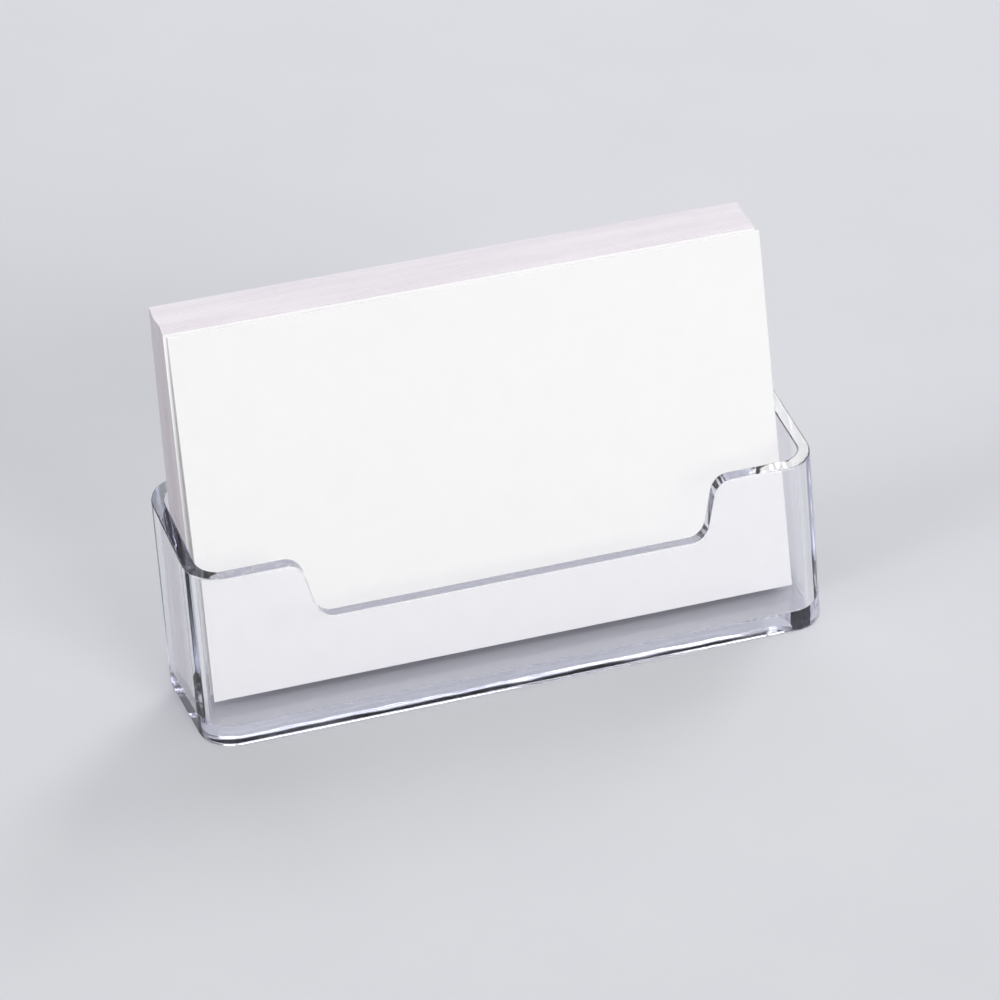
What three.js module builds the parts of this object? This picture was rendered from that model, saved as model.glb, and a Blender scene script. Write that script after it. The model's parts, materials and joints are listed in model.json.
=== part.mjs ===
// Clear desk holder for cards, with the stack of plain cards that it holds.
// Millimetres, +Z up, +X to the right and +Y to the back, seen from the front.
// The origin is on the desk, at the middle of the whole object's footprint.

import * as THREE from "three";
import { LoftGeometry } from "three/addons/geometries/LoftGeometry.js";
import { mergeGeometries, mergeVertices } from "three/addons/utils/BufferGeometryUtils.js";

// The cards: sheets of card stock
const CARD_WIDTH = 90;
const CARD_HEIGHT = 54;
const CARD_THICKNESS = 0.34;
const CARD_COUNT = 20;

// How they stand: the rear card's lean, in degrees back from upright, and how far each card's foot
// has slid forward from the one behind it. Their heads touch, so each leans a little more than the
// one behind. The front card has slid furthest.
const REAR_CARD_LEAN = 12.2;
const CARD_SLIP = 0.147;
const FRONT_CARD_SLIP = 1.5;
const CARD_GAP = 0.02;

// How far they lie to the right of the holder's middle: the front card, and the uneven rest
const FRONT_CARD_SHIFT = 0.14;
const STACK_SHIFT = -0.35;
const CARD_WANDER = 0.1;
const WANDER_TURN = 0.5;

// The holder: one moulded wall and floor, with room for the cards beside, below and before them
const WALL = 1.9;
const FLOOR = 2.4;
const WALL_LEAN = 13.3;
const RIM_FRONT = 24.9;
const RIM_RISE = 3.3;
const SIDE_ROOM = 0.68;
const THUMB_ROOM = 6.24;
const SEAT_GAP = 0.35;

// The opening in the front wall: its depth, its shoulders and the slant of its sides in degrees
const NOTCH_DEPTH = 8.3;
const SHOULDER = 16.3;
const NOTCH_SLANT = 15;

// Rounded corners and edges
const POCKET_CORNER = 3.1;
const NOTCH_ROUND = 2.9;
const RIM_ROUND = 0.2;
const FOOT_ROUND = 0.8;
const FLOOR_ROUND = 0.2;

// Facets in a quarter turn
const CORNER_STEPS = 8;
const NOTCH_STEPS = 7;
const EDGE_STEPS = 4;

const { degToRad, lerp } = THREE.MathUtils;
const QUARTER = Math.PI / 2;

// Sizes that follow from those above
const widestShift = Math.max(Math.abs(FRONT_CARD_SHIFT), Math.abs(STACK_SHIFT) + CARD_WANDER);
const pocketWidth = CARD_WIDTH + 2 * (widestShift + SIDE_ROOM);
const wallSlope = Math.tan(degToRad(WALL_LEAN));
const rimRear = RIM_FRONT + RIM_RISE;
const cardFoot = FLOOR + SEAT_GAP;
const cards = stackCards();
const frontCard = cards[0];
const pocketDepth = THUMB_ROOM - frontCard.y + frontCard.z * wallSlope;
const width = pocketWidth + 2 * WALL;
const depth = pocketDepth + 2 * WALL;
const corner = POCKET_CORNER + WALL;
const rimRound = Math.min(RIM_ROUND, WALL * 0.45);
const notchFloor = RIM_FRONT - NOTCH_DEPTH;
const notchSlant = degToRad(NOTCH_SLANT);
const notchRound = Math.min(NOTCH_ROUND, NOTCH_DEPTH * 0.6);

// The cards, from front to rear. y is the foot of a card's front face, measured back from the foot
// of the pocket's rear wall on the desk.
function stackCards() {
  const list = [makePlace(CARD_COUNT - 1, degToRad(REAR_CARD_LEAN))];
  list[0].y = rearFoot(list[0]) - CARD_THICKNESS * Math.cos(list[0].lean);
  for (let i = CARD_COUNT - 2; i >= 0; i--) {
    const behind = list[0];
    const slip = i === 0 ? FRONT_CARD_SLIP : CARD_SLIP;
    const card = makePlace(i, behind.lean + Math.asin(slip / CARD_HEIGHT));
    card.y = behind.y - (CARD_THICKNESS + CARD_GAP + slip) / Math.cos(card.lean);
    list.unshift(card);
  }
  return list;
}

function makePlace(i, lean) {
  const wander = -CARD_WANDER * Math.cos(i * WANDER_TURN);
  const x = i === 0 ? FRONT_CARD_SHIFT : STACK_SHIFT + wander;
  return { x, y: 0, z: cardFoot + CARD_THICKNESS * Math.sin(lean), lean };
}

// The foot of the rear card's back, which rests on the rounded rear corners of the pocket's mouth
function rearFoot({ x, lean }) {
  const straight = pocketWidth / 2 - POCKET_CORNER;
  const past = Math.max(0, CARD_WIDTH / 2 + Math.abs(x) - straight);
  const reach = POCKET_CORNER - Math.sqrt((POCKET_CORNER - SEAT_GAP) ** 2 - past ** 2);
  return rimRear * wallSlope - reach - (rimRear - cardFoot) * Math.tan(lean);
}

// Stations run round the wall, from the front left corner by way of the front. Each is a point of
// the outer face at desk level, with the direction out of the wall, the height of the rim's outer
// edge, how much higher its inner edge is, and the direction from the rim into the wall.
function cornerStations(right, back, from) {
  const stations = [];
  for (let i = 0; i <= CORNER_STEPS; i++) {
    const angle = from + (i / CORNER_STEPS) * QUARTER;
    const nx = Math.cos(angle);
    const ny = Math.sin(angle);
    const x = right * (width / 2 - corner) + nx * corner;
    const y = back * (depth / 2 - corner) + ny * corner;
    const rim = RIM_FRONT + (RIM_RISE * (y + depth / 2)) / depth;
    const tilt = (-ny * RIM_RISE * WALL) / depth;
    stations.push({ x, y, nx, ny, rim, tilt, intoX: 0, intoZ: -1 });
  }
  return stations;
}

// An arc of the front wall's edge. Material lies towards its centre on a shoulder (side -1) and
// away from it at the notch's foot (side 1).
function edgeArc(centreX, centreZ, from, to, side) {
  const stations = [];
  for (let i = 0; i <= NOTCH_STEPS; i++) {
    const angle = lerp(from, to, i / NOTCH_STEPS);
    const x = centreX + notchRound * Math.cos(angle);
    const rim = centreZ + notchRound * Math.sin(angle);
    const tilt = ((RIM_RISE * WALL) / depth) * ((rim - notchFloor) / NOTCH_DEPTH);
    const into = { intoX: side * Math.cos(angle), intoZ: side * Math.sin(angle) };
    stations.push({ x, y: -depth / 2, nx: 0, ny: -1, rim, tilt, ...into });
  }
  return stations;
}

function notchStations() {
  const tangent = notchRound * Math.tan((QUARTER - notchSlant) / 2);
  const topX = width / 2 - SHOULDER + tangent;
  const topZ = RIM_FRONT - notchRound;
  const footX = width / 2 - SHOULDER - NOTCH_DEPTH * Math.tan(notchSlant) - tangent;
  const footZ = notchFloor + notchRound;
  return [
    ...edgeArc(-topX, topZ, QUARTER, notchSlant, -1),
    ...edgeArc(-footX, footZ, 2 * QUARTER + notchSlant, 3 * QUARTER, 1),
    ...edgeArc(footX, footZ, 3 * QUARTER, 4 * QUARTER - notchSlant, 1),
    ...edgeArc(topX, topZ, 2 * QUARTER - notchSlant, QUARTER, -1),
  ];
}

const stations = [
  ...cornerStations(-1, -1, 2 * QUARTER),
  ...notchStations(),
  ...cornerStations(1, -1, 3 * QUARTER),
  ...cornerStations(1, 1, 0),
  ...cornerStations(-1, 1, QUARTER),
];

// A section of the wall at one height, and one that follows the rim at a depth below its edge
function levelSection(inset, z) {
  return stations.map((s) => new THREE.Vector3(s.x - s.nx * inset, s.y - s.ny * inset + z * wallSlope, z));
}

function rimSection(inset, below) {
  return stations.map((s) => {
    const x = s.x - s.nx * inset + s.intoX * below;
    const z = s.rim + (s.tilt * inset) / WALL + s.intoZ * below;
    return new THREE.Vector3(x, s.y - s.ny * inset + z * wallSlope, z);
  });
}

// Steps round an edge: how far along each face of it the surface has turned
function rounding(radius) {
  const steps = [];
  for (let i = 0; i <= EDGE_STEPS; i++) {
    const angle = (i / EDGE_STEPS) * QUARTER;
    steps.push([radius * (1 - Math.sin(angle)), radius * (1 - Math.cos(angle))]);
  }
  return steps;
}

// The holder is one skin: out from under the foot, up the outside, over the rim, down the inside
// and out on to the pocket's floor
function holderGeometry() {
  const sections = [
    ...rounding(FOOT_ROUND).map(([inset, z]) => levelSection(inset, z)),
    ...rounding(rimRound).map(([below, inset]) => rimSection(inset, below)),
    ...rounding(rimRound).reverse().map(([below, inset]) => rimSection(WALL - inset, below)),
    ...rounding(FLOOR_ROUND).map(([above, inset]) => levelSection(WALL + inset, FLOOR + above)),
  ];
  const skin = new LoftGeometry(sections, { capStart: true });
  const floorEdge = sections.at(-1).map((point) => new THREE.Vector2(point.x, point.y));
  const floor = new THREE.ShapeGeometry(new THREE.Shape(floorEdge)).translate(0, 0, FLOOR);
  return welded(mergeGeometries([skin, floor]));
}

// One closed body: points that coincide become one
function welded(geometry) {
  geometry.deleteAttribute("normal");
  geometry.deleteAttribute("uv");
  const body = mergeVertices(geometry);
  body.computeVertexNormals();
  return body;
}

const acrylic = new THREE.MeshStandardMaterial({
  color: 0xe9e9f4,
  roughness: 0.05,
  metalness: 0,
  transparent: true,
  opacity: 0.3,
});
const cardStock = new THREE.MeshStandardMaterial({ color: 0xf8f7fa, roughness: 0.6, metalness: 0 });

function makeHolder() {
  const holder = new THREE.Mesh(holderGeometry(), acrylic);
  holder.name = "holder";
  return holder;
}

// A card stands on its lower edge and leans back about it
function makeCard(card, i) {
  const sheet = new THREE.BoxGeometry(CARD_WIDTH, CARD_THICKNESS, CARD_HEIGHT);
  sheet.translate(0, CARD_THICKNESS / 2, CARD_HEIGHT / 2);
  const mesh = new THREE.Mesh(sheet, cardStock);
  mesh.name = `card_${String(i + 1).padStart(2, "0")}`;
  mesh.position.set(card.x, depth / 2 - WALL + card.y, card.z);
  mesh.rotation.x = -card.lean;
  return mesh;
}

const organizer = new THREE.Group();
organizer.add(makeHolder(), ...cards.map(makeCard));

// The footprint's middle comes to the origin
const box = new THREE.Box3().setFromObject(organizer, true);
organizer.position.y = -(box.min.y + box.max.y) / 2;

export default organizer;
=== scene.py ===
"""Clear moulded card holder with its stack of plain white cards, on a pale studio floor.

Metres, +Z up, +X to the right along the cards and +Y to the back. Sizes below are in millimetres.
"""

import json
import math

import bmesh
import bpy
from mathutils import Matrix, Vector


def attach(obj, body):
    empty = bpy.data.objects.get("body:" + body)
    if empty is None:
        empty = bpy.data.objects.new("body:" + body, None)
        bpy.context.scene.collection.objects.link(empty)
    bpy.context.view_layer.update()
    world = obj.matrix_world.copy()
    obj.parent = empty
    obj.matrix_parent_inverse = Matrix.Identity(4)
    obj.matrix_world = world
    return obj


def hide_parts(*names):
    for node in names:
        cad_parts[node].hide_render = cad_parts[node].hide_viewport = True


MM = 0.001
QUARTER = math.pi / 2

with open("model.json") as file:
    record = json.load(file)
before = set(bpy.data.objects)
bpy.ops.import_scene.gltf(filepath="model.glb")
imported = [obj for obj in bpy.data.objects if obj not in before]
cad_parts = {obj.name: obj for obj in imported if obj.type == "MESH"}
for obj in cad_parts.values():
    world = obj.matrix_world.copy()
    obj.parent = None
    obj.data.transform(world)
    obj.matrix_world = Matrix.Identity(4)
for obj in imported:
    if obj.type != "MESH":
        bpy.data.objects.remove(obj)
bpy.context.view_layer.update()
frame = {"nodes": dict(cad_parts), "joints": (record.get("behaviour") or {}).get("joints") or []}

# The holder, in millimetres: the foot of its walls on the desk, its rim and its notch
HOLDER_WIDTH = 96.06
HOLDER_DEPTH = 22.6935
HOLDER_MIDDLE = -4.6877
WALL = 1.9
FLOOR = 2.4
WALL_SLOPE = math.tan(math.radians(13.3))
RIM_FRONT = 24.9
RIM_RISE = 3.3
CORNER = 5.0
NOTCH_DEPTH = 8.3
SHOULDER = 16.3
NOTCH_SLANT = math.radians(15)
NOTCH_ROUND = 2.9
RIM_ROUND = 0.2
FOOT_ROUND = 0.8
FLOOR_ROUND = 0.2

# How far the cards lean back, on average
STACK_LEAN = math.radians(13.6)

# Metres: how much thicker a sheet is drawn, how far its cut edges are blunted, and how much lower
# its upper cut is at the front than at the back
GAP_TAKEN = 0.016 * MM
BLUNT = 0.004 * MM
CUT_SLOPE = 0.09 * MM

# The tone of a card's cut edge, from 0 for the greyer core to 1 for the whitest: how much it varies
# from sheet to sheet, and the painted light that makes the front card's cut edge as white as its face
SHADE_SPREAD = 0.1
FRONT_CARD_PAINTED_LIGHT = 1.0

# Facets in a quarter turn of the holder's corners, of the notch's curves, of the foot and of all
# other edges, and points along a card's width, thickness and height
CORNER_STEPS = 24
NOTCH_STEPS = 18
FOOT_STEPS = 4
EDGE_STEPS = 8
CARD_POINTS = (31, 5, 19)

# The camera: its place in metres, the way it looks, and its lens and sensor in millimetres
CAMERA_AT = (-0.220707, -0.602373, 0.42231)
CAMERA_AZIMUTH = math.radians(20.283)
CAMERA_ELEVATION = math.radians(31.907)
LENS = 187.696
SENSOR = 36

# The softboxes, which all face the cards: name, place and size in metres, watts, and colour
WHITE = (1, 1, 1)
COOL_WHITE = (0.88, 0.92, 1.0)
SOFTBOXES = (
    ("overhead_softbox", (0.0, 0.0, 1.2), (1.1, 1.1), 4.6, WHITE),
    ("key_softbox", (0.45, -1.15, 0.55), (0.8, 0.5), 9.6, WHITE),
    ("back_right_softbox", (0.474, 0.63, 0.79), (0.25, 0.45), 4.0, WHITE),
    ("back_left_softbox", (0.11, 0.76, 0.82), (0.42, 0.45), 2.4, COOL_WHITE),
    ("left_strip", (-0.9, -0.1, 0.5), (0.25, 0.9), 3.1, WHITE),
)
LAMP_TARGET = Vector((0, 0, 0.03))

# Metres: half the width of the board under the object, and how far it lies below the holder
BOARD_REACH = 3
BOARD_DROP = 0.05 * MM

# How often light may turn on its way, in all or through the acrylic, and in reflections
TURNS = 28
GLOSSY_TURNS = 20


# Nodes and colours


def linear(code):
    """An sRGB hex colour as linear RGBA."""
    values = [int(code[i : i + 2], 16) / 255 for i in (1, 3, 5)]
    return [v / 12.92 if v <= 0.04045 else ((v + 0.055) / 1.055) ** 2.4 for v in values] + [1]


def add(tree, kind, inputs=(), **settings):
    """A node with its settings. An input given a socket, or a node for its first socket, is linked."""
    made = tree.nodes.new(kind)
    for name, value in settings.items():
        setattr(made, name, value)
    for name, value in dict(inputs).items():
        source = value.outputs[0] if isinstance(value, bpy.types.Node) else value
        if isinstance(source, bpy.types.NodeSocket):
            tree.links.new(source, made.inputs[name])
        else:
            made.inputs[name].default_value = source
    return made


def new_material(name):
    material = bpy.data.materials.new(name)
    material.use_nodes = True
    material.node_tree.nodes.clear()
    return material, material.node_tree


# Materials


def clear_acrylic():
    """Injection-moulded clear acrylic: polished faces, and a rim that gathers a faint lavender blue."""
    material, tree = new_material("clear_moulded_acrylic")
    place = add(tree, "ShaderNodeTexCoord").outputs["Object"]
    rim = add(tree, "ShaderNodeAttribute", attribute_name="rim").outputs["Fac"]
    # The melt's slow ripple, about 9 mm from crest to crest, and shorter sink marks on the rim
    ripple = add(tree, "ShaderNodeTexNoise", {"Vector": place, "Scale": 1 / (9 * MM), "Detail": 1.0})
    sinks = add(tree, "ShaderNodeTexNoise", {"Vector": place, "Scale": 1 / (3 * MM), "Detail": 1.0})
    on_rim = add(tree, "ShaderNodeMath", {0: sinks.outputs["Fac"], 1: rim}, operation="MULTIPLY")
    height = add(
        tree,
        "ShaderNodeMath",
        {0: on_rim, 1: 5.0, 2: ripple.outputs["Fac"]},
        operation="MULTIPLY_ADD",
    )
    bump = add(
        tree,
        "ShaderNodeBump",
        {"Height": height, "Strength": 1.0, "Distance": 0.03 * MM},
    )
    # Fine handling haze in patches of about 14 mm, over faces that are polished and a rim that isn't
    haze = add(tree, "ShaderNodeTexNoise", {"Vector": place, "Scale": 1 / (14 * MM), "Detail": 4.0})
    smudge = add(
        tree,
        "ShaderNodeMapRange",
        {"Value": haze, "From Min": 0.35, "From Max": 0.75, "To Min": 0.0, "To Max": 0.05},
    )
    rough = add(
        tree,
        "ShaderNodeMath",
        {0: rim, 1: 0.06, 2: smudge.outputs["Result"]},
        operation="MULTIPLY_ADD",
    )
    body = add(
        tree,
        "ShaderNodeBsdfPrincipled",
        {
            "Base Color": linear("#FDFDFF"),
            "Roughness": rough,
            "IOR": 1.53,
            "Transmission Weight": 1.0,
            "Normal": bump,
        },
    )
    # Lamps shine through it on to what is behind, unbent. They stand low, so its upright faces pass
    # nearly all of their light and its level ones turn part of it away.
    facing = add(tree, "ShaderNodeNewGeometry").outputs["True Normal"]
    upward = add(tree, "ShaderNodeSeparateXYZ", {"Vector": facing}).outputs["Z"]
    level = add(tree, "ShaderNodeMath", {0: upward}, operation="ABSOLUTE")
    turned = add(
        tree,
        "ShaderNodeMapRange",
        {"Value": level, "From Min": 0.3, "From Max": 0.95, "To Min": 0.0, "To Max": 1.0},
    )
    passed = add(
        tree,
        "ShaderNodeMix",
        {"Factor": turned.outputs["Result"], "A": linear("#FBFBFC"), "B": linear("#DFDFE3")},
        data_type="RGBA",
    )
    lamp_side = add(tree, "ShaderNodeBsdfTransparent", {"Color": passed.outputs["Result"]})
    soft_side = add(tree, "ShaderNodeBsdfTransparent", {"Color": linear("#FDFDFE")})
    ray = add(tree, "ShaderNodeLightPath").outputs
    lit = add(tree, "ShaderNodeMixShader", {0: ray["Is Shadow Ray"], 1: body, 2: lamp_side})
    surface = add(tree, "ShaderNodeMixShader", {0: ray["Is Diffuse Ray"], 1: lit, 2: soft_side})
    depth = add(tree, "ShaderNodeVolumeAbsorption", {"Color": linear("#C6C9F8"), "Density": 6.6})
    add(tree, "ShaderNodeOutputMaterial", {"Surface": surface, "Volume": depth})
    return material


def card_face():
    """Smooth white card stock: a matt, faintly mottled sheet with a fine tooth."""
    material, tree = new_material("smooth_white_card_stock")
    place = add(tree, "ShaderNodeTexCoord").outputs["Object"]
    # The sheet's cloudy formation, about 3 mm across
    cloud = add(tree, "ShaderNodeTexNoise", {"Vector": place, "Scale": 1 / (3 * MM), "Detail": 3.0})
    tone = add(
        tree,
        "ShaderNodeMix",
        {"Factor": cloud.outputs["Fac"], "A": linear("#F8F7F6"), "B": linear("#FDFCFB")},
        data_type="RGBA",
    )
    # Fibres are 0.02 mm thick, and are drawn 0.3 mm apart so that they show
    tooth = add(tree, "ShaderNodeTexNoise", {"Vector": place, "Scale": 1 / (0.3 * MM), "Detail": 2.0})
    bump = add(
        tree,
        "ShaderNodeBump",
        {"Height": tooth.outputs["Fac"], "Strength": 0.35, "Distance": 0.01 * MM},
    )
    body = add(
        tree,
        "ShaderNodeBsdfPrincipled",
        {
            "Base Color": tone.outputs["Result"],
            "Roughness": 0.62,
            "IOR": 1.45,
            "Specular IOR Level": 0.35,
            "Normal": bump,
        },
    )
    add(tree, "ShaderNodeOutputMaterial", {"Surface": body})
    return material


def card_edge():
    """The guillotined edge of the card stock: bare core, a little greyer, each sheet its own tone; soft
    streaks along it are painted shade, and the front card's edge is painted light.
    """
    material, tree = new_material("cut_card_edge")
    place = add(tree, "ShaderNodeTexCoord").outputs["Object"]
    # Each sheet's tone, with painted light on the front card's edge
    shade = add(tree, "ShaderNodeAttribute", attribute_name="shade").outputs["Fac"]
    plain = add(
        tree,
        "ShaderNodeMix",
        {"Factor": shade, "A": linear("#E4DEE3"), "B": linear("#FCFBFC")},
        data_type="RGBA",
    )
    # Painted shade: soft streaks that follow the sheets, 1.4 mm wide and about 22 mm long, darken and
    # lighten the edges as the shading of sheets at uneven heights would
    along = add(
        tree,
        "ShaderNodeMapping",
        {
            "Vector": place,
            "Rotation": (-STACK_LEAN, 0.0, 0.0),
            "Scale": (22 * MM, 1.4 * MM, 22 * MM),
        },
        vector_type="TEXTURE",
    )
    painted_shade_streak = add(tree, "ShaderNodeTexNoise", {"Vector": along, "Scale": 1.0, "Detail": 3.0})
    blunting_and_painted_shade = add(
        tree,
        "ShaderNodeMix",
        {"Factor": painted_shade_streak.outputs["Fac"], "A": linear("#E6E2E8"), "B": linear("#FFFFFF")},
        data_type="RGBA",
    )
    # The edge's tone times the painted shade of the streaks
    tone = add(
        tree,
        "ShaderNodeMix",
        {"Factor": 1.0, "A": plain.outputs["Result"], "B": blunting_and_painted_shade.outputs["Result"]},
        data_type="RGBA",
        blend_type="MULTIPLY",
    )
    body = add(
        tree,
        "ShaderNodeBsdfPrincipled",
        {"Base Color": tone.outputs["Result"], "Roughness": 0.85, "Specular IOR Level": 0.2},
    )
    add(tree, "ShaderNodeOutputMaterial", {"Surface": body})
    return material


def studio_floor():
    """Matt painted board under the object."""
    material, tree = new_material("matt_painted_board")
    place = add(tree, "ShaderNodeTexCoord").outputs["Object"]
    grain = add(tree, "ShaderNodeTexNoise", {"Vector": place, "Scale": 40.0, "Detail": 3.0})
    tone = add(
        tree,
        "ShaderNodeMix",
        {"Factor": grain.outputs["Fac"], "A": linear("#CACBCF"), "B": linear("#CECFD2")},
        data_type="RGBA",
    )
    body = add(
        tree,
        "ShaderNodeBsdfPrincipled",
        {"Base Color": tone.outputs["Result"], "Roughness": 0.9, "Specular IOR Level": 0.1},
    )
    add(tree, "ShaderNodeOutputMaterial", {"Surface": body})
    return material


# The holder


def corner_stations(right, back, start):
    """Points of the outer face at desk level round one corner, as in the wall's plan."""
    stations = []
    for i in range(CORNER_STEPS + 1):
        angle = start + i / CORNER_STEPS * QUARTER
        nx, ny = math.cos(angle), math.sin(angle)
        x = right * (HOLDER_WIDTH / 2 - CORNER) + nx * CORNER
        y = back * (HOLDER_DEPTH / 2 - CORNER) + ny * CORNER
        rim = RIM_FRONT + RIM_RISE * (y + HOLDER_DEPTH / 2) / HOLDER_DEPTH
        tilt = -ny * RIM_RISE * WALL / HOLDER_DEPTH
        stations.append((x, y, nx, ny, rim, tilt, 0, -1))
    return stations


def edge_arc(centre_x, centre_z, start, end, side):
    """Points along a curve of the front wall's edge: a shoulder (side -1) or the notch's foot."""
    stations = []
    for i in range(NOTCH_STEPS + 1):
        angle = start + i / NOTCH_STEPS * (end - start)
        x = centre_x + NOTCH_ROUND * math.cos(angle)
        rim = centre_z + NOTCH_ROUND * math.sin(angle)
        rise = (rim - RIM_FRONT + NOTCH_DEPTH) / NOTCH_DEPTH
        tilt = RIM_RISE * WALL / HOLDER_DEPTH * rise
        into = side * math.cos(angle), side * math.sin(angle)
        stations.append((x, -HOLDER_DEPTH / 2, 0, -1, rim, tilt, *into))
    return stations


def wall_stations():
    tangent = NOTCH_ROUND * math.tan((QUARTER - NOTCH_SLANT) / 2)
    top_x = HOLDER_WIDTH / 2 - SHOULDER + tangent
    top_z = RIM_FRONT - NOTCH_ROUND
    foot_x = HOLDER_WIDTH / 2 - SHOULDER - NOTCH_DEPTH * math.tan(NOTCH_SLANT) - tangent
    foot_z = RIM_FRONT - NOTCH_DEPTH + NOTCH_ROUND
    return (
        corner_stations(-1, -1, 2 * QUARTER)
        + edge_arc(-top_x, top_z, QUARTER, NOTCH_SLANT, -1)
        + edge_arc(-foot_x, foot_z, 2 * QUARTER + NOTCH_SLANT, 3 * QUARTER, 1)
        + edge_arc(foot_x, foot_z, 3 * QUARTER, 4 * QUARTER - NOTCH_SLANT, 1)
        + edge_arc(top_x, top_z, 2 * QUARTER - NOTCH_SLANT, QUARTER, -1)
        + corner_stations(1, -1, 3 * QUARTER)
        + corner_stations(1, 1, 0)
        + corner_stations(-1, 1, QUARTER)
    )


def place_mm(x, y, z):
    """A point of the wall's plan, carried up its lean to a height."""
    return Vector((x, y + z * WALL_SLOPE + HOLDER_MIDDLE, z)) * MM


def level_section(stations, inset, z):
    return [place_mm(x - nx * inset, y - ny * inset, z) for x, y, nx, ny, *_ in stations]


def rim_section(stations, inset, below):
    return [
        place_mm(x - nx * inset + ix * below, y - ny * inset, rim + tilt * inset / WALL + iz * below)
        for x, y, nx, ny, rim, tilt, ix, iz in stations
    ]


def rounding(radius, steps=EDGE_STEPS):
    """Steps round an edge: how far along each face of it the surface has turned."""
    angles = [i / steps * QUARTER for i in range(steps + 1)]
    return [(radius * (1 - math.sin(a)), radius * (1 - math.cos(a))) for a in angles]


def make_holder(material):
    """One skin: out from under the foot, up the outside, over the rim and down to the floor."""
    stations = wall_stations()
    foot = [level_section(stations, inset, z) for inset, z in rounding(FOOT_ROUND, FOOT_STEPS)]
    turn = rounding(RIM_ROUND)
    rim = [rim_section(stations, inset, below) for below, inset in turn]
    rim += [rim_section(stations, WALL - inset, below) for below, inset in reversed(turn)]
    turn = rounding(FLOOR_ROUND)
    floor = [level_section(stations, WALL + inset, FLOOR + above) for above, inset in turn]
    skin = bmesh.new()
    # The rim between its two long edges is marked for the material
    marked = skin.verts.layers.float.new("rim")
    rings = [[skin.verts.new(point) for point in section] for section in foot + rim + floor]
    for ring in rings[len(foot) + 1 : len(foot) + len(rim) - 1]:
        for vertex in ring:
            vertex[marked] = 1.0
    for low, high in zip(rings, rings[1:]):
        for i in range(len(low)):
            j = (i + 1) % len(low)
            skin.faces.new((low[i], low[j], high[j], high[i]))
    skin.faces.new(list(reversed(rings[0])))
    skin.faces.new(rings[-1])
    bmesh.ops.remove_doubles(skin, verts=skin.verts, dist=1e-7)
    bmesh.ops.recalc_face_normals(skin, faces=skin.faces)
    return finished("clear_holder", skin, [material], smooth=True)


def finished(name, shape, materials, smooth=False):
    """An object at the origin from a bmesh, with flat faces kept flat where they meet a curve."""
    mesh = bpy.data.meshes.new(name)
    shape.to_mesh(mesh)
    shape.free()
    for material in materials:
        mesh.materials.append(material)
    piece = bpy.data.objects.new(name, mesh)
    bpy.context.scene.collection.objects.link(piece)
    if smooth:
        mesh.shade_smooth()
        weigh = piece.modifiers.new("flat faces stay flat", "WEIGHTED_NORMAL")
        weigh.weight = 100
    return piece


# The cards


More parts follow.
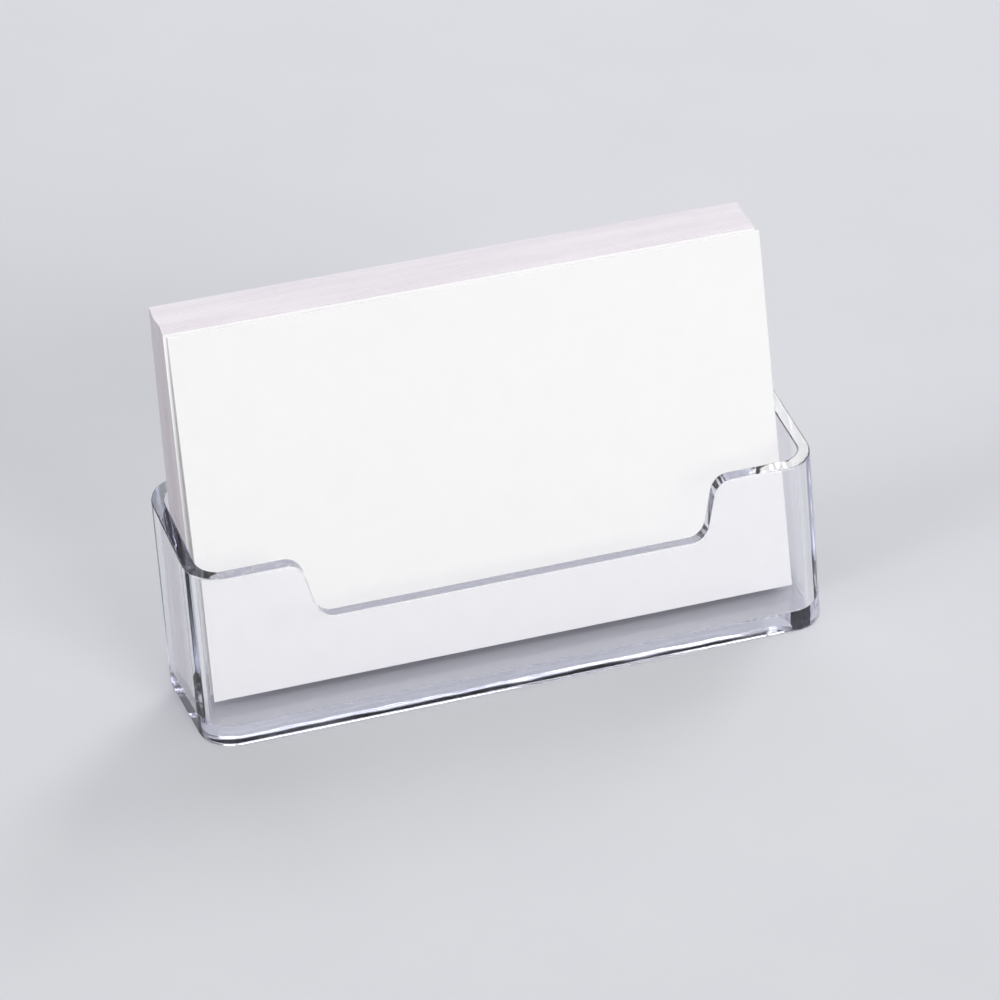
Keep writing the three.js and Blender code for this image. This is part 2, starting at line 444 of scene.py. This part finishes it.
def card_tree(face, edge):
    """Geometry nodes for one trimmed card, centred on the origin and standing on its long edge."""
    tree = bpy.data.node_groups.new("trimmed_card", "GeometryNodeTree")
    tree.interface.new_socket("Geometry", in_out="INPUT", socket_type="NodeSocketGeometry")
    for name in ("Width", "Thickness", "Height", "Blunt", "Slope", "Lightness"):
        tree.interface.new_socket(name, in_out="INPUT", socket_type="NodeSocketFloat")
    tree.interface.new_socket("Seed", in_out="INPUT", socket_type="NodeSocketInt")
    tree.interface.new_socket("Geometry", in_out="OUTPUT", socket_type="NodeSocketGeometry")
    given = tree.nodes.new("NodeGroupInput").outputs
    size = add(
        tree,
        "ShaderNodeCombineXYZ",
        {"X": given["Width"], "Y": given["Thickness"], "Z": given["Height"]},
    )
    columns, layers, rows = CARD_POINTS
    block = add(
        tree,
        "GeometryNodeMeshCube",
        {"Size": size, "Vertices X": columns, "Vertices Y": layers, "Vertices Z": rows},
    )
    # How far out a point lies, from -1 to 1 each way, with 0 in place of all that is short of a side
    place = add(tree, "GeometryNodeInputPosition")
    half = add(tree, "ShaderNodeVectorMath", {0: size, "Scale": 0.5}, operation="SCALE")
    share = add(tree, "ShaderNodeVectorMath", {0: place, 1: half}, operation="DIVIDE")
    reach = add(tree, "ShaderNodeVectorMath", {0: share}, operation="ABSOLUTE")
    past = add(tree, "ShaderNodeVectorMath", {0: reach, "Scale": 1.001}, operation="SCALE")
    on_side = add(tree, "ShaderNodeVectorMath", {0: past}, operation="FLOOR")
    side = add(tree, "ShaderNodeVectorMath", {0: share, 1: on_side}, operation="MULTIPLY")
    # The outermost ring of each face is drawn in, which blunts the cut edge
    ring = add(tree, "ShaderNodeSeparateXYZ", {0: on_side})
    on_ring = add(
        tree,
        "ShaderNodeMath",
        {0: ring.outputs["X"], 1: ring.outputs["Z"]},
        operation="MAXIMUM",
    )
    outward = add(tree, "ShaderNodeSeparateXYZ", {0: reach}).outputs["Y"]
    cube = add(tree, "ShaderNodeMath", {0: outward, 1: 3.0}, operation="POWER")
    blunting_and_painted_shade = add(tree, "ShaderNodeMath", {0: cube, 1: on_ring}, operation="MULTIPLY")
    blunt = add(tree, "ShaderNodeMath", {0: blunting_and_painted_shade, 1: given["Blunt"]}, operation="MULTIPLY")
    inward = add(
        tree,
        "ShaderNodeVectorMath",
        {0: side, 1: (-1.0, 0.0, -1.0)},
        operation="MULTIPLY",
    )
    drawn_in = add(tree, "ShaderNodeVectorMath", {0: inward, "Scale": blunt}, operation="SCALE")
    # The upper cut slopes down to the front
    upper = add(tree, "ShaderNodeSeparateXYZ", {0: side}).outputs["Z"]
    head = add(tree, "ShaderNodeMath", {0: upper, 1: 0.0}, operation="MAXIMUM")
    back = add(tree, "ShaderNodeSeparateXYZ", {0: share}).outputs["Y"]
    forward = add(tree, "ShaderNodeMath", {0: back, 1: -0.5, 2: 0.5}, operation="MULTIPLY_ADD")
    on_head = add(tree, "ShaderNodeMath", {0: head, 1: forward}, operation="MULTIPLY")
    lower = add(tree, "ShaderNodeMath", {0: on_head, 1: given["Slope"]}, operation="MULTIPLY")
    sloped = add(tree, "ShaderNodeCombineXYZ", {"Z": lower})
    move = add(tree, "ShaderNodeVectorMath", {0: drawn_in, 1: sloped}, operation="SUBTRACT")
    shaped = add(tree, "GeometryNodeSetPosition", {"Geometry": block, "Offset": move})
    # Each sheet has a tone of its own, and the front card has painted light added on top of it
    varied = add(
        tree,
        "FunctionNodeRandomValue",
        {2: 0.0, 3: SHADE_SPREAD, "ID": 0, "Seed": given["Seed"]},
        data_type="FLOAT",
    )
    shade = add(
        tree,
        "ShaderNodeMath",
        {0: varied.outputs[1], 1: given["Lightness"]},
        operation="ADD",
    )
    shaded = add(
        tree,
        "GeometryNodeStoreNamedAttribute",
        {"Geometry": shaped, "Name": "shade", "Value": shade},
        data_type="FLOAT",
        domain="POINT",
    )
    real = add(tree, "GeometryNodeRealizeInstances", {"Geometry": shaded})
    faced = add(tree, "GeometryNodeSetMaterial", {"Geometry": real, "Material": face})
    # All that doesn't look along the sheet's thickness is cut edge
    normal = add(tree, "GeometryNodeInputNormal")
    way = add(tree, "ShaderNodeSeparateXYZ", {0: normal}).outputs["Y"]
    along = add(tree, "ShaderNodeMath", {0: way}, operation="ABSOLUTE")
    cut = add(tree, "ShaderNodeMath", {0: along, 1: 0.9}, operation="LESS_THAN")
    edged = add(
        tree,
        "GeometryNodeSetMaterial",
        {"Geometry": faced, "Selection": cut, "Material": edge},
    )
    add(tree, "NodeGroupOutput", {"Geometry": edged})
    return tree


def card_place(node):
    """Where a card of the frame stands: its turn and centre, and its width, thickness and height."""
    joint = next(j for j in frame["joints"] if j["child"] == node.name)
    up = Vector(joint["axis"]).normalized()
    right = Vector((1, 0, 0))
    axes = right, up.cross(right), up
    points = [vertex.co for vertex in node.data.vertices]
    reaches = [[point.dot(axis) for point in points] for axis in axes]
    spans = [(min(reach), max(reach)) for reach in reaches]
    centre = sum(((low + high) / 2 * axis for (low, high), axis in zip(spans, axes)), Vector())
    turn = Matrix(axes).transposed().to_4x4()
    return Matrix.Translation(centre) @ turn, [high - low for low, high in spans]


def make_card(node, tree, seed, painted_light):
    """A card's sheet. Neighbours press together, so each takes up most of the gap before it."""
    place, (width, thickness, height) = card_place(node)
    place = place @ Matrix.Translation((0, -GAP_TAKEN / 2, 0))
    maker = bpy.data.objects.new("maker", bpy.data.meshes.new("maker"))
    bpy.context.scene.collection.objects.link(maker)
    modifier = maker.modifiers.new("trimmed_card", "NODES")
    modifier.node_group = tree
    sockets = {s.name: s.identifier for s in tree.interface.items_tree if s.in_out == "INPUT"}
    sizes = {"Width": width, "Thickness": thickness + GAP_TAKEN, "Height": height}
    finish = {"Blunt": BLUNT, "Slope": CUT_SLOPE, "Lightness": painted_light, "Seed": seed}
    for name, value in {**sizes, **finish}.items():
        modifier[sockets[name]] = value
    graph = bpy.context.evaluated_depsgraph_get()
    mesh = bpy.data.meshes.new_from_object(maker.evaluated_get(graph))
    bpy.data.objects.remove(maker)
    mesh.transform(place)
    name = f"{node.name}_sheet"
    mesh.name = name
    card = bpy.data.objects.new(name, mesh)
    bpy.context.scene.collection.objects.link(card)
    return card


# The studio


def make_camera():
    camera = bpy.data.objects.new("camera", bpy.data.cameras.new("camera"))
    bpy.context.scene.collection.objects.link(camera)
    camera.data.lens = LENS
    camera.data.sensor_width = SENSOR
    camera.data.clip_start = 0.01
    camera.data.clip_end = 20
    level = Vector((math.sin(CAMERA_AZIMUTH), math.cos(CAMERA_AZIMUTH), 0))
    ahead = level * math.cos(CAMERA_ELEVATION) - Vector((0, 0, math.sin(CAMERA_ELEVATION)))
    right = Vector((level.y, -level.x, 0))
    above = right.cross(ahead)
    turn = Matrix((right, above, -ahead)).transposed().to_4x4()
    camera.matrix_world = Matrix.Translation(CAMERA_AT) @ turn
    bpy.context.scene.camera = camera


def make_softbox(name, at, size, watts, colour):
    lamp = bpy.data.lights.new(name, "AREA")
    lamp.color = colour
    lamp.shape = "RECTANGLE"
    lamp.size, lamp.size_y = size
    lamp.energy = watts
    box = bpy.data.objects.new(name, lamp)
    turn = (LAMP_TARGET - Vector(at)).to_track_quat("-Z", "Y").to_matrix().to_4x4()
    box.matrix_world = Matrix.Translation(at) @ turn
    bpy.context.scene.collection.objects.link(box)


def make_studio():
    shape = bmesh.new()
    bmesh.ops.create_grid(shape, x_segments=1, y_segments=1, size=BOARD_REACH)
    # A hair's breadth of air stays between the board and the holder's polished underside
    bmesh.ops.translate(shape, vec=(0, 0, -BOARD_DROP), verts=shape.verts)
    floor = finished("studio_floor", shape, [studio_floor()])
    for softbox in SOFTBOXES:
        make_softbox(*softbox)
    world = bpy.data.worlds.new("dim_studio")
    world.use_nodes = True
    world.node_tree.nodes.clear()
    tree = world.node_tree
    room = add(tree, "ShaderNodeBackground", {"Color": linear("#C8C8C9"), "Strength": 0.35})
    add(tree, "ShaderNodeOutputWorld", {"Surface": room})
    bpy.context.scene.world = world
    bpy.context.scene.view_settings.view_transform = "Standard"
    # Light is turned back inside the clear walls many times before it leaves them
    light_paths = bpy.context.scene.cycles
    light_paths.max_bounces = TURNS
    light_paths.glossy_bounces = GLOSSY_TURNS
    light_paths.transmission_bounces = TURNS


# The scene

make_camera()
make_studio()

holder = make_holder(clear_acrylic())
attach(holder, "holder")
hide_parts("holder")

tree = card_tree(card_face(), card_edge())
cards = sorted(name for name in frame["nodes"] if name.startswith("card_"))
for number, name in enumerate(cards, 1):
    # Painted light: the front card's cut edge is drawn as white as its face
    painted_light = FRONT_CARD_PAINTED_LIGHT if number == 1 else 0.0
    sheet = make_card(frame["nodes"][name], tree, number, painted_light)
    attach(sheet, name)
    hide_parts(name)
